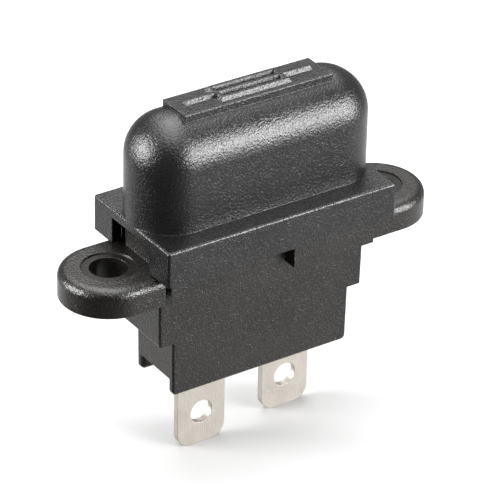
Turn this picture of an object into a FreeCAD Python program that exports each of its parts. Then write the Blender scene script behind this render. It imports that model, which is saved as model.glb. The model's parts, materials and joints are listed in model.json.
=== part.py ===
import FreeCAD, Part
import math
import os

# Panel-mount holder for one 19 mm flat-blade fuse. Millimetres.
# X runs along the holder, -Y is its front and +Z is up. The origin is in the plane of
# the ears' undersides, which rest on the panel, midway between the two screw holes.
# The holder repeats itself when it is turned half a turn about Z.

Vector = FreeCAD.Vector
UP = Vector(0, 0, 1)
FRONT_TO_BACK = Vector(0, 1, 0)

# Ears and deck
HOLE_SPACING = 35.5
HOLE_RADIUS = 2.15
SEAT_RADIUS = 3.05
SEAT_DEPTH = 0.15
EAR_RADIUS = 5.6
EAR_THICKNESS = 3.3
EAR_TOP_ROUNDING = 1.1

# Band under the deck, its pry notches and its core slots
BAND_HALF_LENGTH = 13.65
BAND_DROP = 0.45
NOTCH_HALF_WIDTH = 2.9
SLOT_INNER_X = 13.2
SLOT_OUTER_X = 13.95

# Rims along the deck's long edges, which steady the cover's skirt from inside
RIM_HALF_LENGTH = 13.1
RIM_INNER_Y = 4.8
RIM_HEIGHT = 2.2
RIM_ROUNDING = 0.3

# Body below the panel: a wide block, then a shorter one that ends in two long feet
WIDE_HALF_LENGTH = 13.55
NARROW_HALF_LENGTH = 11.74
BODY_HALF_DEPTH = 3.78
STEP_Z = -6.63
FOOT_Z = -13.5
END_WALL_Z = -11.55
FOOT_INNER_ROUNDING = 0.5
FOOT_CORNER = 0.55
BLOCK_ROUNDING = 0.25
LONG_WALL = 1.15
END_WALL = 1.1
CENTRE_WEB = 1.0
DRAFT_PER_MM = 0.012

# Fuse socket in the body
POCKET_HALF_LENGTH = 9.8
POCKET_HALF_DEPTH = 2.8
POCKET_FLOOR_Z = 0.4
SOCKET_ROOF_Z = -1.5
COLLAR_HALF_LENGTH = 11.0
COLLAR_HALF_DEPTH = 4.0
COLLAR_HEIGHT = 2.8
COLLAR_CORNER = 0.8
COLLAR_TOP_ROUNDING = 0.25
POCKET_CORNER = 0.4
BLADE_SLOT_EASE = 0.3

# Latch tongues that stand on the deck inside the cover
TONGUE_INNER_X = 12.0
TONGUE_OUTER_X = 13.65
TONGUE_HALF_WIDTH = 3.15
TONGUE_HEIGHT = 3.1
FINGER_OUTER_X = 13.2
FINGER_HALF_WIDTH = 1.5
FINGER_HEIGHT = 6.0
TONGUE_ROUNDING = 0.2
DETENT_Z = 8.6
DETENT_RADIUS = 0.25
DETENT_INSET = 0.1

# Cover
COVER_HALF_LENGTH = 14.95
SKIRT_HALF_DEPTH = 7.7
SKIRT_HEIGHT = 4.27
COVER_GAP = 0.18
SKIRT_CORNER = 0.3
SKIRT_ROUNDING = 0.28
DOME_HALF_DEPTH = 5.15
DOME_TOP_Z = 20.05
DOME_CORNER = 5.0
DOME_TOP_ROUNDING = 4.95
COVER_WALL = 1.2
HOLLOW_CORNER = 3.4
HOLLOW_ROUNDING = 3.35
GROOVE_DEPTH = 0.2
GROOVE_EASE = 0.1
WINDOW_HALF_WIDTH = 3.85
LINTEL_HEIGHT = 1.05
PLATE_HALF_LENGTH = 9.5
PLATE_HALF_DEPTH = 2.3
PLATE_HEIGHT = 0.45
PLATE_ROOT = 1.4
PLATE_ROUNDING = 0.15

# Raised fuse symbol on the cover: a rectangle with a line through it
SYMBOL_HALF_LENGTH = 4.6
SYMBOL_HALF_DEPTH = 1.7
SYMBOL_LINE_HALF_LENGTH = 8.2
SYMBOL_STROKE = 0.85
SYMBOL_HEIGHT = 0.5
SYMBOL_SLOPE = 0.25

# Terminals: stamped tabs with a rolled receptacle above
SHEET = 0.8
TAB_WIDTH = 6.3
TAB_X = 6.2
TAB_TIP_Z = -22.8
TAB_CORNER = 1.8
TAB_HOLE_RADIUS = 1.45
TAB_HOLE_ABOVE_TIP = 4.1
TAB_TOP_Z = -8.0
RECEPTACLE_TOP_Z = -1.6
ROLL_OFFSET = 2.75
ROLL_OUTER = 1.3
ROLL_SWEEP = 240.0
GRIP_CLEARANCE = 0.035
LANCE_WIDTH = 2.4
LANCE_LENGTH = 2.7
LANCE_TOP_Z = -8.5
LANCE_ANGLE = 24.0
LANCE_SHEET = 0.5
LANCE_ROOT = 0.3
LANCE_WINDOW_EASE = 0.1
LEDGE_TOP_Z = -11.3
LEDGE_HEIGHT = 0.9
LEDGE_REACH = 0.8
LEDGE_WIDTH = 3.6

# Flat-blade fuse
BLADE_X = 4.85
BLADE_WIDTH = 5.2
BLADE_SHEET = 0.65
BLADE_TIP_Z = -6.5
BLADE_BEVEL = 0.9
HOUSING_BOTTOM_Z = 0.5
HOUSING_TOP_Z = 12.8
HEAD_HALF_LENGTH = 9.55
HEAD_HALF_DEPTH = 2.55
HEAD_BOTTOM_Z = 7.4
SHANK_HALF_LENGTH = 8.8
SHANK_HALF_DEPTH = 2.25
HOUSING_ROUNDING = 0.35
RECESS_HALF_WIDTH = 2.6
RECESS_BOTTOM_Z = 1.9
RECESS_TOP_Z = 10.6
RECESS_Y = 1.65
CHAMBER_HALF_DEPTH = 1.15
CHAMBER_INSET = 0.6
CHAMBER_EASE = 0.1
STRIP_INNER_X = 2.3
STRIP_OUTER_X = 6.2
STRIP_BOTTOM_Z = 3.4
STRIP_TOP_Z = 12.0
LINK_Z = 5.4
LINK_OUTER = 2.6
LINK_INNER = 1.85
PROBE_HALF_WIDTH = 1.3
PROBE_HALF_DEPTH = 0.5
PROBE_BELOW_TIP = 0.5
BLADE_CLEARANCE = 0.05

# Levels and faces that follow from the above
HOLE_X = HOLE_SPACING / 2
DECK_Z = EAR_THICKNESS
SKIRT_BOTTOM_Z = DECK_Z + COVER_GAP
SKIRT_TOP_Z = SKIRT_BOTTOM_Z + SKIRT_HEIGHT
SKIRT_ROOF_Z = SKIRT_TOP_Z - COVER_WALL
PLATE_TOP_Z = DOME_TOP_Z + PLATE_HEIGHT
CAVITY_HALF_DEPTH = BODY_HALF_DEPTH - LONG_WALL
CAVITY_END_X = NARROW_HALF_LENGTH - END_WALL
PLATE_BACK_Y = -BLADE_SHEET / 2 - GRIP_CLEARANCE
PLATE_FRONT_Y = PLATE_BACK_Y - SHEET
THROUGH = 1.0


def block(x0, x1, y0, y1, z0, z1):
    """A box between two corners."""
    return Part.makeBox(x1 - x0, y1 - y0, z1 - z0, Vector(x0, y0, z0))


def centred_block(half_x, half_y, z0, z1):
    """A box centred on the Z axis."""
    return block(-half_x, half_x, -half_y, half_y, z0, z1)


def upright_edges(shape):
    """The edges that run straight along Z."""
    found = []
    for edge in shape.Edges:
        box = edge.BoundBox
        if box.XLength < 1e-6 and box.YLength < 1e-6:
            found.append(edge)
    return found


def edges_at_height(shape, z):
    """The edges that lie flat at one height."""
    found = []
    for edge in shape.Edges:
        box = edge.BoundBox
        if abs(box.ZMin - z) < 1e-5 and abs(box.ZMax - z) < 1e-5:
            found.append(edge)
    return found


def rounded_block(half_x, half_y, z0, z1, corner):
    """A centred box with its upright edges rounded."""
    shape = centred_block(half_x, half_y, z0, z1)
    return shape.makeFillet(corner, upright_edges(shape))


def tapered_block(half_x, half_y, z_top, z_bottom):
    """A centred box whose four sides draw in towards the bottom."""
    draw = DRAFT_PER_MM * (z_top - z_bottom)
    sections = []
    for z, inset in ((z_top, 0.0), (z_bottom, draw)):
        x = half_x - inset
        y = half_y - inset / 2
        corners = [Vector(-x, -y, z), Vector(x, -y, z), Vector(x, y, z), Vector(-x, y, z)]
        sections.append(Part.makePolygon(corners + corners[:1]))
    return Part.makeLoft(sections, True, True)


def turned(shape):
    """The same shape after half a turn about the Z axis."""
    copy = shape.copy()
    copy.rotate(Vector(0, 0, 0), UP, 180)
    return copy


def both_ends(shape):
    """A shape and its half-turn twin, joined as one tool."""
    return shape.fuse(turned(shape))


def stadium(half_spacing, radius, z0, z1):
    """A plate with parallel sides and half-round ends."""
    left = Vector(-half_spacing, 0, z0)
    right = Vector(half_spacing, 0, z0)
    side = Vector(0, radius, 0)
    bulge = Vector(radius, 0, 0)
    outline = [
        Part.LineSegment(left - side, right - side).toShape(),
        Part.Arc(right - side, right + bulge, right + side).toShape(),
        Part.LineSegment(right + side, left + side).toShape(),
        Part.Arc(left + side, left - bulge, left - side).toShape(),
    ]
    return Part.Face(Part.Wire(outline)).extrude(Vector(0, 0, z1 - z0))


def make_deck():
    """The flange plate with its two screw ears."""
    plate = stadium(HOLE_X, EAR_RADIUS, 0, DECK_Z)
    plate = plate.makeFillet(EAR_TOP_ROUNDING, edges_at_height(plate, DECK_Z))
    band = centred_block(BAND_HALF_LENGTH, EAR_RADIUS, -BAND_DROP, 0)
    plate = plate.fuse(band)
    edge_y = EAR_RADIUS + THROUGH
    notch = block(-NOTCH_HALF_WIDTH, NOTCH_HALF_WIDTH, -edge_y, -BODY_HALF_DEPTH,
                  -BAND_DROP - THROUGH, DECK_Z + THROUGH)
    slot = block(-SLOT_OUTER_X, -SLOT_INNER_X, -edge_y, -BODY_HALF_DEPTH,
                 -BAND_DROP - THROUGH, DECK_Z + THROUGH)
    return plate.cut([both_ends(notch), both_ends(slot)])


def make_screw_holes():
    """The two screw holes with their shallow seats for the screw heads."""
    tools = []
    for x in (-HOLE_X, HOLE_X):
        hole = Part.makeCylinder(HOLE_RADIUS, DECK_Z + 2 * THROUGH, Vector(x, 0, -THROUGH), UP)
        seat = Part.makeCylinder(SEAT_RADIUS, THROUGH, Vector(x, 0, DECK_Z - SEAT_DEPTH), UP)
        tools.append(hole.fuse(seat))
    return tools


def end_edges(block_below, z):
    """The two edges across the ends of a block at one height."""
    return [edge for edge in edges_at_height(block_below, z) if edge.BoundBox.YLength > BODY_HALF_DEPTH]


def side_edges(block_below):
    """The four long edges that run down the corners of a block."""
    return [edge for edge in block_below.Edges if edge.BoundBox.ZLength > abs(STEP_Z) / 2]


def foot_inner_edges(shell):
    """The long bottom edges of the two long walls, on their inner sides."""
    wall_middle = CAVITY_HALF_DEPTH + LONG_WALL / 2
    found = []
    for edge in edges_at_height(shell, FOOT_Z):
        runs_along = edge.BoundBox.XLength > NARROW_HALF_LENGTH
        if runs_along and abs(edge.BoundBox.YMax) < wall_middle:
            found.append(edge)
    return found


def make_shell_below():
    """The stepped block below the deck, with its two open terminal cavities and four feet."""
    wide = tapered_block(WIDE_HALF_LENGTH, BODY_HALF_DEPTH, 0, STEP_Z)
    step_inset = DRAFT_PER_MM * abs(STEP_Z) / 2
    narrow = tapered_block(NARROW_HALF_LENGTH, BODY_HALF_DEPTH - step_inset, STEP_Z, FOOT_Z)
    wide = wide.makeFillet(BLOCK_ROUNDING, side_edges(wide) + end_edges(wide, STEP_Z))
    narrow = narrow.makeFillet(FOOT_CORNER, end_edges(narrow, FOOT_Z))
    narrow = narrow.makeFillet(BLOCK_ROUNDING, side_edges(narrow))
    shell = wide.fuse(narrow)
    cavity = block(CENTRE_WEB / 2, CAVITY_END_X, -CAVITY_HALF_DEPTH, CAVITY_HALF_DEPTH,
                   FOOT_Z - THROUGH, SOCKET_ROOF_Z)
    foot_gap = centred_block(WIDE_HALF_LENGTH, CAVITY_HALF_DEPTH, FOOT_Z - THROUGH, END_WALL_Z)
    shell = shell.cut([cavity, turned(cavity), foot_gap]).removeSplitter()
    return shell.makeFillet(FOOT_INNER_ROUNDING, foot_inner_edges(shell))


def make_rim():
    """The rim along the front edge of the deck, inside the cover's skirt."""
    top_z = DECK_Z + RIM_HEIGHT
    rim = block(-RIM_HALF_LENGTH, RIM_HALF_LENGTH, -EAR_RADIUS, -RIM_INNER_Y, 0, top_z)
    notch = block(-NOTCH_HALF_WIDTH, NOTCH_HALF_WIDTH, -EAR_RADIUS - THROUGH, -RIM_INNER_Y + THROUGH,
                  -THROUGH, DECK_Z)
    rim = rim.makeFillet(RIM_ROUNDING, edges_at_height(rim, top_z))
    return rim.cut(notch)


def make_ledge():
    """The step inside the front wall that the left terminal's lance stands on."""
    wall_y = -CAVITY_HALF_DEPTH
    return block(-TAB_X - LEDGE_WIDTH / 2, -TAB_X + LEDGE_WIDTH / 2,
                 wall_y - LONG_WALL / 2, wall_y + LEDGE_REACH,
                 LEDGE_TOP_Z - LEDGE_HEIGHT, LEDGE_TOP_Z)


def tongue_stage(outer_x, half_width, height):
    """One upright stage of the left latch tongue, rounded along its top."""
    top_z = DECK_Z + height
    stage = block(-outer_x, -TONGUE_INNER_X, -half_width, half_width, DECK_Z - THROUGH, top_z)
    return stage.makeFillet(TONGUE_ROUNDING, edges_at_height(stage, top_z))


def make_tongue():
    """The left latch tongue: a broad root, a narrow finger and a small detent rib."""
    root = tongue_stage(TONGUE_OUTER_X, TONGUE_HALF_WIDTH, TONGUE_HEIGHT)
    finger = tongue_stage(FINGER_OUTER_X, FINGER_HALF_WIDTH, FINGER_HEIGHT)
    rib_half_width = FINGER_HALF_WIDTH - DETENT_INSET
    rib = Part.makeCylinder(DETENT_RADIUS, 2 * rib_half_width,
                            Vector(-FINGER_OUTER_X, -rib_half_width, DETENT_Z), FRONT_TO_BACK)
    return root.fuse([finger, rib])


def make_body():
    """The moulded body: deck, ears, fuse socket, latch tongues and terminal cavities."""
    collar_top_z = DECK_Z + COLLAR_HEIGHT
    collar = rounded_block(COLLAR_HALF_LENGTH, COLLAR_HALF_DEPTH, 0, collar_top_z, COLLAR_CORNER)
    collar = collar.makeFillet(COLLAR_TOP_ROUNDING, edges_at_height(collar, collar_top_z))
    tongue = make_tongue()
    rim = make_rim()
    body = make_deck().fuse([make_shell_below(), collar, tongue, turned(tongue), rim, turned(rim)])
    pocket = rounded_block(POCKET_HALF_LENGTH, POCKET_HALF_DEPTH, POCKET_FLOOR_Z,
                           collar_top_z + THROUGH, POCKET_CORNER)
    half_slot = BLADE_WIDTH / 2 + BLADE_SLOT_EASE
    blade_slot = block(BLADE_X - half_slot, BLADE_X + half_slot, -BLADE_SHEET, BLADE_SHEET,
                       SOCKET_ROOF_Z - THROUGH, POCKET_FLOOR_Z + THROUGH)
    body = body.cut(make_screw_holes() + [pocket, blade_slot, turned(blade_slot)])
    return body.fuse([make_ledge(), turned(make_ledge())]).removeSplitter()


def symbol_bar(x, y, half_x, half_y):
    """One stroke of the raised symbol, with all four sides leaning inwards."""
    sections = []
    for z, inset in ((PLATE_TOP_Z - PLATE_HEIGHT, 0.0), (PLATE_TOP_Z, 0.0),
                     (PLATE_TOP_Z + SYMBOL_HEIGHT, SYMBOL_SLOPE)):
        reach_x = half_x - inset
        reach_y = half_y - inset
        corners = [Vector(x - reach_x, y - reach_y, z), Vector(x + reach_x, y - reach_y, z),
                   Vector(x + reach_x, y + reach_y, z), Vector(x - reach_x, y + reach_y, z)]
        sections.append(Part.makePolygon(corners + corners[:1]))
    return Part.makeLoft(sections, True, True)


def make_symbol():
    """The raised fuse symbol on the label plate: a frame of four strokes and a line through it."""
    half_stroke = SYMBOL_STROKE / 2
    bars = [symbol_bar(0, 0, SYMBOL_LINE_HALF_LENGTH, half_stroke)]
    for side in (-1, 1):
        bars.append(symbol_bar(0, side * (SYMBOL_HALF_DEPTH - half_stroke),
                               SYMBOL_HALF_LENGTH, half_stroke))
        bars.append(symbol_bar(side * (SYMBOL_HALF_LENGTH - half_stroke), 0,
                               half_stroke, SYMBOL_HALF_DEPTH))
    return bars[0].fuse(bars[1:]).removeSplitter()


def make_cover():
    """The pull-off cover: skirt, dome, label plate and raised symbol in one moulding."""
    skirt = rounded_block(COVER_HALF_LENGTH, SKIRT_HALF_DEPTH, SKIRT_BOTTOM_Z, SKIRT_TOP_Z,
                          SKIRT_CORNER)
    skirt = skirt.makeFillet(SKIRT_ROUNDING, edges_at_height(skirt, SKIRT_TOP_Z))
    dome = rounded_block(COVER_HALF_LENGTH, DOME_HALF_DEPTH, SKIRT_BOTTOM_Z, DOME_TOP_Z,
                         DOME_CORNER)
    dome = dome.makeFillet(DOME_TOP_ROUNDING, edges_at_height(dome, DOME_TOP_Z))
    plate = centred_block(PLATE_HALF_LENGTH, PLATE_HALF_DEPTH, DOME_TOP_Z - PLATE_ROOT, PLATE_TOP_Z)
    plate = plate.makeFillet(PLATE_ROUNDING, edges_at_height(plate, PLATE_TOP_Z))
    shell = skirt.fuse([dome, plate, make_symbol()])

    inner_x = COVER_HALF_LENGTH - COVER_WALL
    skirt_hollow = centred_block(inner_x, SKIRT_HALF_DEPTH - COVER_WALL,
                                 SKIRT_BOTTOM_Z - THROUGH, SKIRT_ROOF_Z)
    ceiling_z = DOME_TOP_Z - COVER_WALL
    dome_hollow = rounded_block(inner_x, DOME_HALF_DEPTH - COVER_WALL, SKIRT_BOTTOM_Z - THROUGH,
                                ceiling_z, HOLLOW_CORNER)
    dome_hollow = dome_hollow.makeFillet(HOLLOW_ROUNDING, edges_at_height(dome_hollow, ceiling_z))
    window = centred_block(COVER_HALF_LENGTH + THROUGH, WINDOW_HALF_WIDTH,
                           SKIRT_BOTTOM_Z - THROUGH, SKIRT_TOP_Z - LINTEL_HEIGHT)
    groove_half_height = DETENT_RADIUS + GROOVE_EASE
    groove = centred_block(inner_x + GROOVE_DEPTH, FINGER_HALF_WIDTH + GROOVE_EASE,
                           DETENT_Z - groove_half_height, DETENT_Z + groove_half_height)
    return shell.cut([skirt_hollow, dome_hollow, window, groove]).removeSplitter()


def make_roll(side):
    """One rolled wing of the left receptacle, curled back over the fuse blade."""
    height = RECEPTACLE_TOP_Z - TAB_TOP_Z
    centre = Vector(-BLADE_X + side * ROLL_OFFSET, PLATE_FRONT_Y + ROLL_OUTER, TAB_TOP_Z)
    outer = Part.makeCylinder(ROLL_OUTER, height, centre, UP, ROLL_SWEEP)
    inner = Part.makeCylinder(ROLL_OUTER - SHEET, height, centre, UP)
    roll = outer.cut(inner)
    start = -90 if side > 0 else 270 - ROLL_SWEEP
    roll.rotate(centre, UP, start)
    return roll


def make_lance():
    """The lance bent out of the left terminal's face, pointing down and forwards."""
    lance = block(-TAB_X - LANCE_WIDTH / 2, -TAB_X + LANCE_WIDTH / 2,
                  PLATE_FRONT_Y, PLATE_FRONT_Y + LANCE_SHEET,
                  LANCE_TOP_Z - LANCE_LENGTH, LANCE_TOP_Z + LANCE_ROOT)
    lance.rotate(Vector(-TAB_X, PLATE_FRONT_Y + LANCE_SHEET, LANCE_TOP_Z), Vector(1, 0, 0),
                 -LANCE_ANGLE)
    return lance


def make_terminal():
    """The left terminal: a receptacle for the fuse blade above a flat 6.3 mm tab."""
    tab = block(-TAB_X - TAB_WIDTH / 2, -TAB_X + TAB_WIDTH / 2, PLATE_FRONT_Y, PLATE_BACK_Y,
                TAB_TIP_Z, TAB_TOP_Z)
    tip_edges = []
    for edge in edges_at_height(tab, TAB_TIP_Z):
        if edge.BoundBox.XLength < 1e-6:
            tip_edges.append(edge)
    tab = tab.makeFillet(TAB_CORNER, tip_edges)
    hole = Part.makeCylinder(TAB_HOLE_RADIUS, SHEET + 2 * THROUGH,
                             Vector(-TAB_X, PLATE_FRONT_Y - THROUGH,
                                    TAB_TIP_Z + TAB_HOLE_ABOVE_TIP), FRONT_TO_BACK)
    half_window = LANCE_WIDTH / 2 + LANCE_WINDOW_EASE
    lance_window = block(-TAB_X - half_window, -TAB_X + half_window,
                         PLATE_FRONT_Y - THROUGH, PLATE_BACK_Y + THROUGH,
                         LANCE_TOP_Z - LANCE_LENGTH, LANCE_TOP_Z)
    tab = tab.cut([hole, lance_window])
    base = block(-BLADE_X - ROLL_OFFSET, -BLADE_X + ROLL_OFFSET, PLATE_FRONT_Y, PLATE_BACK_Y,
                 TAB_TOP_Z, RECEPTACLE_TOP_Z)
    return tab.fuse([base, make_roll(-1), make_roll(1), make_lance()]).removeSplitter()


def make_element():
    """The fuse's metal stamping: two blades joined by a thin arched link."""
    half_sheet = BLADE_SHEET / 2
    arch = Part.makeCylinder(LINK_OUTER, BLADE_SHEET, Vector(0, -half_sheet, LINK_Z),
                             FRONT_TO_BACK)
    eye = Part.makeCylinder(LINK_INNER, BLADE_SHEET, Vector(0, -half_sheet, LINK_Z),
                            FRONT_TO_BACK)
    below = block(-LINK_OUTER, LINK_OUTER, -half_sheet, half_sheet, LINK_Z - LINK_OUTER, LINK_Z)
    link = arch.cut([eye, below])
    blades = []
    for x in (-BLADE_X, BLADE_X):
        blade = block(x - BLADE_WIDTH / 2, x + BLADE_WIDTH / 2, -half_sheet, half_sheet,
                      BLADE_TIP_Z, STRIP_BOTTOM_Z)
        corners = []
        for edge in edges_at_height(blade, BLADE_TIP_Z):
            if edge.BoundBox.XLength < 1e-6:
                corners.append(edge)
        blades.append(blade.makeChamfer(BLADE_BEVEL, corners))
        inner_x = math.copysign(STRIP_INNER_X, x)
        outer_x = math.copysign(STRIP_OUTER_X, x)
        blades.append(block(min(inner_x, outer_x), max(inner_x, outer_x), -half_sheet,
                            half_sheet, STRIP_BOTTOM_Z, STRIP_TOP_Z))
    return link.fuse(blades).removeSplitter()


def make_housing():
    """The fuse's plastic housing, with a sight recess on each face and two probe openings."""
    shank = centred_block(SHANK_HALF_LENGTH, SHANK_HALF_DEPTH, HOUSING_BOTTOM_Z, HEAD_BOTTOM_Z)
    shank = shank.makeFillet(HOUSING_ROUNDING, upright_edges(shank))
    head = centred_block(HEAD_HALF_LENGTH, HEAD_HALF_DEPTH, HEAD_BOTTOM_Z, HOUSING_TOP_Z)
    head = head.makeFillet(HOUSING_ROUNDING, upright_edges(head) +
                           edges_at_height(head, HOUSING_TOP_Z))
    recess = block(-RECESS_HALF_WIDTH, RECESS_HALF_WIDTH, -HEAD_HALF_DEPTH - THROUGH, -RECESS_Y,
                   RECESS_BOTTOM_Z, RECESS_TOP_Z)
    chamber = centred_block(LINK_OUTER + CHAMBER_EASE, CHAMBER_HALF_DEPTH,
                            RECESS_BOTTOM_Z + CHAMBER_INSET, RECESS_TOP_Z - CHAMBER_INSET)
    tools = [recess, turned(recess), chamber]
    half_gap = BLADE_SHEET / 2 + BLADE_CLEARANCE
    for x in (-BLADE_X, BLADE_X):
        half_width = BLADE_WIDTH / 2 + BLADE_CLEARANCE
        tools.append(block(x - half_width, x + half_width, -half_gap, half_gap,
                           HOUSING_BOTTOM_Z - THROUGH, STRIP_TOP_Z + BLADE_CLEARANCE))
        probe_x = math.copysign((STRIP_INNER_X + STRIP_OUTER_X) / 2, x)
        tools.append(block(probe_x - PROBE_HALF_WIDTH, probe_x + PROBE_HALF_WIDTH,
                           -PROBE_HALF_DEPTH, PROBE_HALF_DEPTH, STRIP_TOP_Z - PROBE_BELOW_TIP,
                           HOUSING_TOP_Z + THROUGH))
    return shank.fuse(head).cut(tools).removeSplitter()


def main():
    terminal = make_terminal()
    nodes = {
        "body": make_body(),
        "cover": make_cover(),
        "terminal_left": terminal,
        "terminal_right": turned(terminal),
        "fuse_housing": make_housing(),
        "fuse_element": make_element(),
    }
    os.makedirs("parts", exist_ok=True)
    for name, shape in nodes.items():
        shape.exportStep(f"parts/{name}.step")
        box = shape.BoundBox
        print(f"{name}: {len(shape.Solids)} solid, valid {shape.isValid()}, "
              f"volume {shape.Volume:.1f} mm3, "
              f"x {box.XMin:.2f} to {box.XMax:.2f}, y {box.YMin:.2f} to {box.YMax:.2f}, "
              f"z {box.ZMin:.2f} to {box.ZMax:.2f}")


main()
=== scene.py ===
"""Looks of a panel-mount blade fuse holder: materials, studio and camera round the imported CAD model.

Everything is in metres, in the CAD frame: X along the holder, -Y to its front, Z up out of the panel.
"""

import json
import math

import bpy
from mathutils import Matrix, Vector


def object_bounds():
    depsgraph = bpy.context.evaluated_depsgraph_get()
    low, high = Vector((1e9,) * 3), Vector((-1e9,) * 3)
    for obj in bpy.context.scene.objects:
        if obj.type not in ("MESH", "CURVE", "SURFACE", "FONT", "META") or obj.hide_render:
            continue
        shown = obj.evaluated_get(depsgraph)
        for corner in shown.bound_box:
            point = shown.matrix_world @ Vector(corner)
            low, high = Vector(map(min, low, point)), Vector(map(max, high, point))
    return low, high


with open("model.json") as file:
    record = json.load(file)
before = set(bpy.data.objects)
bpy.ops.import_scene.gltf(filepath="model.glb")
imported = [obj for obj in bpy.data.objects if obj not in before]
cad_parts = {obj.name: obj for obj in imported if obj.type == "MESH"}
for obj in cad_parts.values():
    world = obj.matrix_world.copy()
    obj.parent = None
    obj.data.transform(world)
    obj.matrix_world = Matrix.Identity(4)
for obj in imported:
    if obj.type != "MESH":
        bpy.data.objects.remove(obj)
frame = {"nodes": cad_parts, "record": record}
cad_low, cad_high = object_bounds()

MM = 0.001

# Moulded grain: cloudy noise with scattered pits in it.
GRAIN_SIZE = 0.18 * MM
GRAIN_DEPTH = 0.085 * MM
PIT_PITCH = 1.6 * GRAIN_SIZE
PIT_SHARE = 0.3

# Screw seats: a polished ring round each hole, with a soft border.
SEAT_RING = 0.90 * MM
SEAT_EASE = 0.04 * MM

# Radii to which the shading eases each material's sharp edges.
MOULDED_EDGE = 0.10 * MM
STAMPED_BRASS_EDGE = 0.08 * MM
STAMPED_ZINC_EDGE = 0.05 * MM

# Camera: seen from the front left, a little from above, through a long lens.
CAMERA_AZIMUTH = -34.28
CAMERA_ELEVATION = 30.31
CAMERA_ROLL = 1.37
CAMERA_DISTANCE = 370.6 * MM
CAMERA_LENS = 240.5
CAMERA_AIM = Vector((-0.29, -1.52, 0.77)) * MM
CAMERA_NEAR_CLIP = 10 * MM

# Soft boxes: two upright ones beside the object and one overhead, all as far from it as STUDIO_RADIUS.
STUDIO_RADIUS = 1.0
SOFT_BOXES = {
    "right": {"azimuth": 34, "elevation": 12, "width": 0.60, "height": 0.56, "radiance": 25},
    "left": {"azimuth": -113, "elevation": 14, "width": 0.62, "height": 0.52, "radiance": 25},
    "top": {"azimuth": 155, "elevation": 84, "width": 0.85, "height": 1.80, "radiance": 5.4},
}

FLOOR_SIZE = 6.0
FLOOR_GREY = 0.45
FLOOR_MOTTLE = 0.01

# Room: dark in front of the object, with a grey wall and a pale ceiling behind it and a pale floor beside.
# A span holds the two cosines, towards an azimuth or upwards, between which a brightness changes.
ROOM_DARK = 0.015
WALL_AZIMUTH = 140
WALL_SPAN = (-0.45, 0.55)
WALL_STRENGTH = 0.30
CEILING_STRENGTH = 1.6
CEILING_SPAN = (0.50, 0.90)
PALE_FLOOR_AZIMUTH = 110
PALE_FLOOR_SIDE_SPAN = (-0.80, 0.35)
PALE_FLOOR_STRENGTH = 0.88
PALE_FLOOR_SPAN = (-0.50, -0.10)


# ---------------------------------------------------------------- shader helpers


class Graph:
    """A node tree with short calls for the nodes that this scene uses."""

    def __init__(self, tree, coordinates):
        self.tree = tree
        self.place = self.add("ShaderNodeTexCoord").outputs[coordinates]

    def add(self, kind, inputs=None, **settings):
        """A new node. An input takes either a number or another node's output."""
        node = self.tree.nodes.new(kind)
        for key, value in settings.items():
            setattr(node, key, value)
        for key, value in (inputs or {}).items():
            self.feed(node.inputs[key], value)
        return node

    def feed(self, socket, value):
        """Links another node's output to a socket, or sets a plain value there."""
        if isinstance(value, bpy.types.NodeSocket):
            self.tree.links.new(value, socket)
        else:
            socket.default_value = value

    def stretched(self, scale):
        """The coordinates times a scale for each axis: noise streaks along the axis with the smallest."""
        inputs = {"Vector": self.place, "Scale": scale}
        return self.add("ShaderNodeMapping", inputs).outputs["Vector"]

    def noise(self, feature, detail=2.0, roughness=0.5, where=None):
        """Cloudy noise from 0 to 1, whose lumps are about one feature across."""
        inputs = {
            "Vector": where or self.place,
            "Scale": 1 / feature,
            "Detail": detail,
            "Roughness": roughness,
        }
        return self.add("ShaderNodeTexNoise", inputs).outputs["Fac"]

    def cells(self, feature):
        """Distance to the nearest of scattered points, about one feature apart."""
        inputs = {"Vector": self.place, "Scale": 1 / feature}
        return self.add("ShaderNodeTexVoronoi", inputs).outputs["Distance"]

    def span(self, value, low, high, start=0.3, end=0.7):
        """Eases a value that runs from start to end into one that runs from low to high."""
        inputs = {"Value": value, "From Min": start, "From Max": end, "To Min": low, "To Max": high}
        return self.add("ShaderNodeMapRange", inputs, interpolation_type="SMOOTHSTEP").outputs["Result"]

    def math(self, operation, *values):
        return self.add("ShaderNodeMath", dict(enumerate(values)), operation=operation).outputs[0]

    def sum(self, a, b):
        return self.math("ADD", a, b)

    def product(self, a, b):
        return self.math("MULTIPLY", a, b)

    def mixed(self, a, b, share):
        """A mean of a and b, in which b has the given share."""
        return self.sum(self.product(a, 1 - share), self.product(b, share))

    def along(self, direction):
        """How far the coordinates reach in one direction."""
        inputs = {0: self.place, 1: direction}
        return self.add("ShaderNodeVectorMath", inputs, operation="DOT_PRODUCT").outputs["Value"]

    def axis_distance(self, x):
        """Distance from the upright axes at x and -x."""
        across = self.math("SUBTRACT", self.math("ABSOLUTE", self.along((1, 0, 0))), x)
        deep = self.along((0, 1, 0))
        return self.math("SQRT", self.sum(self.product(across, across), self.product(deep, deep)))

    def tint(self, amount, dark, light):
        """Colour between dark and light."""
        node = self.add("ShaderNodeMix", data_type="RGBA")
        self.feed(node.inputs[0], amount)
        self.feed(node.inputs[6], (*dark, 1.0))
        self.feed(node.inputs[7], (*light, 1.0))
        return node.outputs[2]

    def rounded(self, radius):
        """The normal, eased over every edge as a mould leaves it."""
        return self.add("ShaderNodeBevel", {"Radius": radius}, samples=6).outputs["Normal"]

    def bump(self, height, depth, normal):
        """The normal, tilted by a height that stands for a depth in metres."""
        inputs = {"Height": height, "Distance": depth, "Normal": normal}
        return self.add("ShaderNodeBump", inputs).outputs["Normal"]


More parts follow.
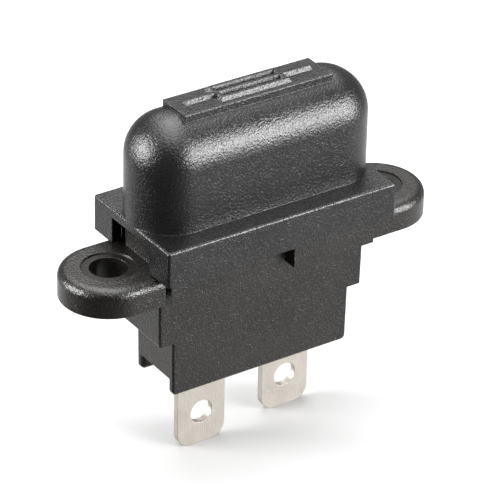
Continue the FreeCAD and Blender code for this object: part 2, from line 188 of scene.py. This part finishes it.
class Shader(Graph):
    """A material, as the graph that feeds its surface."""

    def __init__(self, name):
        self.material = bpy.data.materials.new(name)
        self.material.use_nodes = True
        super().__init__(self.material.node_tree, "Object")
        self.surface = self.tree.nodes["Principled BSDF"]

    def set(self, **inputs):
        """Sets the surface's inputs, named with _ for a space."""
        for key, value in inputs.items():
            self.feed(self.surface.inputs[key.replace("_", " ")], value)


# ---------------------------------------------------------------- materials


def moulded_plastic(name, dark, light, roughness, seats=False):
    """Black plastic with the fine grain of a spark-eroded mould, and with polished screw seats if asked."""
    shader = Shader(name)
    clouds = shader.noise(7 * MM, detail=3.0)
    grain = shader.noise(GRAIN_SIZE, detail=2.0, roughness=0.6)
    height = shader.mixed(grain, shader.cells(PIT_PITCH), PIT_SHARE)
    wear = shader.mixed(clouds, grain, 0.6)
    if seats:
        height = shader.product(height, polished_seats(shader))
    shader.set(
        Base_Color=shader.tint(shader.span(clouds, 0.0, 1.0), dark, light),
        Roughness=shader.span(wear, *roughness),
        Normal=shader.bump(height, GRAIN_DEPTH, shader.rounded(MOULDED_EDGE)),
        IOR=1.5,
    )
    return shader.material


def polished_seats(shader):
    """0 on the seats round the screw holes and 1 elsewhere, from the record's hole pattern."""
    dims = next(mount["dims"] for mount in frame["record"]["mounts"] if mount["name"] == "panel_screws")
    radius = dims["hole_r_mm"] * MM + SEAT_RING
    distance = shader.axis_distance(dims["spacing_x_mm"] / 2 * MM)
    return shader.span(distance, 0.0, 1.0, radius - SEAT_EASE, radius + SEAT_EASE)


def tinned_brass():
    """Satin tin plating over rolled brass, with rolling marks along the tabs."""
    shader = Shader("tinned_brass")
    marks = shader.noise(1.0, detail=3.0, where=shader.stretched((9000, 9000, 700)))
    speckle = shader.noise(0.16 * MM, detail=2.0)
    bloom = shader.noise(2.4 * MM, detail=3.0)
    skin = shader.mixed(marks, speckle, 0.5)
    shader.set(
        Metallic=1.0,
        Base_Color=shader.tint(shader.span(bloom, 0.0, 1.0), (0.392, 0.363, 0.326), (0.438, 0.405, 0.365)),
        Roughness=shader.span(skin, 0.46, 0.60),
        Normal=shader.bump(skin, 0.050 * MM, shader.rounded(STAMPED_BRASS_EDGE)),
    )
    return shader.material


def fuse_plastic():
    """Clear plastic, tinted red, with slight flow marks."""
    shader = Shader("fuse_plastic")
    flow = shader.noise(1.0, detail=2.0, where=shader.stretched((300, 300, 120)))
    shader.set(
        Base_Color=shader.tint(shader.span(flow, 0.0, 1.0), (0.62, 0.015, 0.012), (0.78, 0.030, 0.022)),
        Transmission_Weight=0.75,
        IOR=1.5,
        Roughness=shader.span(flow, 0.10, 0.20),
        Normal=shader.bump(flow, 0.01 * MM, shader.rounded(MOULDED_EDGE)),
    )
    return shader.material


def stamped_zinc():
    """Dull grey zinc with streaks from rolling and a mottled skin."""
    shader = Shader("zinc")
    streaks = shader.noise(1.0, detail=3.0, where=shader.stretched((7000, 7000, 500)))
    mottle = shader.noise(0.9 * MM, detail=4.0)
    shader.set(
        Metallic=1.0,
        Base_Color=shader.tint(shader.span(mottle, 0.0, 1.0), (0.48, 0.49, 0.51), (0.66, 0.67, 0.69)),
        Roughness=shader.span(streaks, 0.30, 0.48),
        Normal=shader.bump(streaks, 0.004 * MM, shader.rounded(STAMPED_ZINC_EDGE)),
    )
    return shader.material


def dress():
    """Gives each CAD node the finish of its material slot."""
    brass = tinned_brass()
    finishes = {
        "body": moulded_plastic(
            "body_plastic", (0.0046, 0.0039, 0.0032), (0.0070, 0.0060, 0.0049),
            roughness=(0.22, 0.32), seats=True,
        ),
        "cover": moulded_plastic(
            "cover_plastic", (0.0036, 0.0036, 0.0036), (0.0054, 0.0054, 0.0054),
            roughness=(0.20, 0.30),
        ),
        "terminal_left": brass,
        "terminal_right": brass,
        "fuse_housing": fuse_plastic(),
        "fuse_element": stamped_zinc(),
    }
    for node, material in finishes.items():
        for slot in frame["nodes"][node].material_slots:
            slot.material = material


# ---------------------------------------------------------------- studio


def facing(azimuth, elevation=0.0):
    """The direction out of the object at an azimuth and elevation in degrees: 0 is the front, 90 is +X."""
    turn = math.radians(azimuth)
    rise = math.radians(elevation)
    return Vector((math.sin(turn) * math.cos(rise), -math.cos(turn) * math.cos(rise), math.sin(rise)))


def soft_box(name, azimuth, elevation, width, height, radiance):
    """An area light of one even brightness, turned towards the object."""
    lamp = bpy.data.lights.new(name, "AREA")
    lamp.shape = "RECTANGLE"
    lamp.size = width
    lamp.size_y = height
    lamp.energy = radiance * math.pi * width * height
    box = bpy.data.objects.new(name, lamp)
    direction = facing(azimuth, elevation)
    box.location = direction * STUDIO_RADIUS
    box.rotation_mode = "QUATERNION"
    box.rotation_quaternion = direction.to_track_quat("Z", "Y")
    box.visible_camera = False
    bpy.context.scene.collection.objects.link(box)


def make_floor():
    """A plain pale floor under the lowest point of the object."""
    half = FLOOR_SIZE / 2
    corners = [(-half, -half), (half, -half), (half, half), (-half, half)]
    mesh = bpy.data.meshes.new("floor")
    mesh.from_pydata([(x, y, cad_low.z) for x, y in corners], [], [(0, 1, 2, 3)])
    floor = bpy.data.objects.new("floor", mesh)
    bpy.context.scene.collection.objects.link(floor)
    shader = Shader("floor")
    dark = (FLOOR_GREY * (1 - FLOOR_MOTTLE),) * 3
    light = (FLOOR_GREY * (1 + FLOOR_MOTTLE),) * 3
    shader.set(
        Base_Color=shader.tint(shader.noise(0.5), dark, light),
        Roughness=0.9,
        Specular_IOR_Level=0.2,
    )
    mesh.materials.append(shader.material)
    floor.visible_glossy = False
    floor.visible_shadow = False


def make_world():
    """The room, as a glow on the background that depends on the direction alone."""
    world = bpy.data.worlds.new("studio")
    bpy.context.scene.world = world
    world.use_nodes = True
    room = Graph(world.node_tree, "Generated")
    behind = room.span(room.along(facing(WALL_AZIMUTH)), 0.0, 1.0, *WALL_SPAN)
    beside = room.span(room.along(facing(PALE_FLOOR_AZIMUTH)), 0.0, 1.0, *PALE_FLOOR_SIDE_SPAN)
    height = room.along((0, 0, 1))
    above = room.span(height, WALL_STRENGTH, CEILING_STRENGTH, *CEILING_SPAN)
    below = room.span(height, PALE_FLOOR_STRENGTH, 0.0, *PALE_FLOOR_SPAN)
    pale = room.sum(room.product(above, behind), room.product(below, beside))
    background = world.node_tree.nodes["Background"]
    room.feed(background.inputs["Strength"], room.sum(pale, ROOM_DARK))
    room.feed(background.inputs["Color"], (1.0, 1.0, 1.0, 1.0))


def make_lights():
    for side, settings in SOFT_BOXES.items():
        soft_box("soft_box_" + side, **settings)


def make_camera():
    """The camera, turned from looking straight down to its place by its azimuth, elevation and roll."""
    camera = bpy.data.objects.new("camera", bpy.data.cameras.new("camera"))
    bpy.context.scene.collection.objects.link(camera)
    camera.data.lens = CAMERA_LENS
    turn = (
        Matrix.Rotation(math.radians(CAMERA_AZIMUTH), 4, "Z")
        @ Matrix.Rotation(math.radians(90 - CAMERA_ELEVATION), 4, "X")
        @ Matrix.Rotation(math.radians(CAMERA_ROLL), 4, "Z")
    )
    back = facing(CAMERA_AZIMUTH, CAMERA_ELEVATION)
    camera.matrix_world = Matrix.Translation(CAMERA_AIM + back * CAMERA_DISTANCE) @ turn
    camera.data.clip_start = CAMERA_NEAR_CLIP
    bpy.context.scene.camera = camera


dress()
make_floor()
make_world()
make_lights()
make_camera()
bpy.context.scene.view_settings.view_transform = "Standard"
